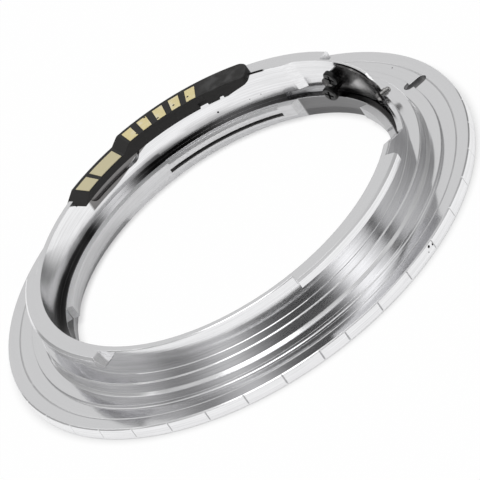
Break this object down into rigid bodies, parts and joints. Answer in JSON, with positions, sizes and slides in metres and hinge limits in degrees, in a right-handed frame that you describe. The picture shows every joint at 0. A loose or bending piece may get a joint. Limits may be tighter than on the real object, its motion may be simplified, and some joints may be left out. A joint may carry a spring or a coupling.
{
  "type": "lens mount adapter",
  "caption": "Thin plated metal ring that joins a bayonet lens to a camera body, with lugs on both sides, a notched flange, a contact chip on the rim and a leaf-spring lock.",
  "frame": {"origin": "middle of the lens seat, the ring's lowest face", "axes": "+Z along the optical axis towards the camera; +X between the lock pin and the low stretch of the collar"},
  "size_m": [0.065, 0.065, 0.0086],
  "materials": {
    "plated_metal": "bright plated, turned",
    "chip_plastic": "moulded, satin",
    "contact_gold": "pale gold plate",
    "dark_spring_steel": "blackened, glossy",
    "black_screw": "black oxide"
  },
  "bodies": {
    "ring": {"mount_ring": "plated_metal", "contact_block": "chip_plastic", "contact_pad_1": "contact_gold", "contact_pad_2": "contact_gold", "contact_pad_3": "contact_gold", "contact_pad_4": "contact_gold", "contact_pad_5": "contact_gold", "contact_pad_6": "contact_gold", "contact_pad_7": "contact_gold", "spring_screw_upper": "black_screw", "spring_screw_lower": "black_screw"},
    "lock": {"lock_spring": "dark_spring_steel", "lock_pin": "dark_spring_steel"}
  },
  "joints": [
    {"name": "lock_release", "type": "hinge", "parent": "ring", "child": "lock", "pos_m": [0.02048, 0.0133, 0.0054], "axis": [0, 0, -1], "range_deg": [0, 4], "stiffness_Nm_per_rad": 0.1}
  ]
}
